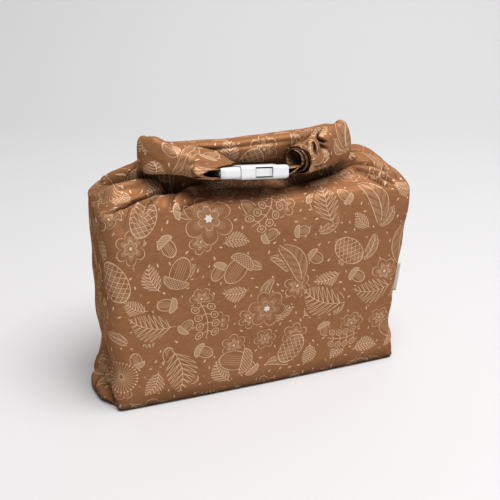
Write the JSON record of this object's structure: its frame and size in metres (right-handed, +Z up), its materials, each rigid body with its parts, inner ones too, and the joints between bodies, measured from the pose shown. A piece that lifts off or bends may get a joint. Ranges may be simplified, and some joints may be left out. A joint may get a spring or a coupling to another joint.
{
  "type": "roll-top wet bag",
  "caption": "Stuffed box-shaped cloth bag with a rolled mouth whose ends are turned to the front and joined by a side-release buckle as a handle.",
  "frame": {"origin": "under the middle of the bag's base, on the surface it stands on", "axes": "+X along the bag's width to the right of its front, +Y to its back, +Z up"},
  "size_m": [0.3058, 0.1001, 0.2337],
  "materials": {
    "printed_cloth": "soft satin knit, brown with cream line print",
    "lining": "smooth pale waterproof film",
    "hem": "stiffened cloth hem",
    "buckle_plastic": "white moulded plastic",
    "label_tape": "beige woven tape"
  },
  "bodies": {
    "bag": {"front_panel": "printed_cloth", "back_panel": "printed_cloth", "front_lining": "lining", "back_lining": "lining"},
    "roll": {"roll_back_leg": "printed_cloth", "roll_left_return": "printed_cloth", "mouth_band_front": "hem", "mouth_band_back": "hem", "left_tab": "printed_cloth", "buckle_plug": "buckle_plastic"},
    "front_latch": {"latch_arm_front": "buckle_plastic"},
    "back_latch": {"latch_arm_back": "buckle_plastic"},
    "socket_half": {"buckle_socket": "buckle_plastic", "right_tab": "printed_cloth", "roll_right_return": "printed_cloth"},
    "label": {"side_label": "label_tape"}
  },
  "joints": [
    {"name": "roll_turn", "type": "hinge", "parent": "bag", "child": "roll", "pos_m": [-0.005, 0, 0.2215], "axis": [-1, 0, 0], "range_deg": [0, 170]},
    {"name": "buckle_release", "type": "slide", "parent": "roll", "child": "socket_half", "axis": [0.9976, 0, -0.0698], "range_m": [0, 0.028], "deforming": ["latch_arm_front", "latch_arm_back"]},
    {"name": "latch_front_press", "type": "hinge", "parent": "roll", "child": "front_latch", "pos_m": [-0.02353, -0.0453, 0.20558], "axis": [0.0674, 0.2588, 0.9636], "range_deg": [0, 9], "stiffness_Nm_per_rad": 0.3},
    {"name": "latch_back_press", "type": "hinge", "parent": "roll", "child": "back_latch", "pos_m": [-0.02387, -0.02752, 0.20082], "axis": [-0.0674, -0.2588, -0.9636], "range_deg": [0, 9], "stiffness_Nm_per_rad": 0.3},
    {"name": "label_flap", "type": "hinge", "parent": "bag", "child": "label", "pos_m": [0.13783, -0.01, 0.06993], "axis": [0.0994, 0, 0.9951], "range_deg": [-60, 60], "stiffness_Nm_per_rad": 0.0005}
  ]
}
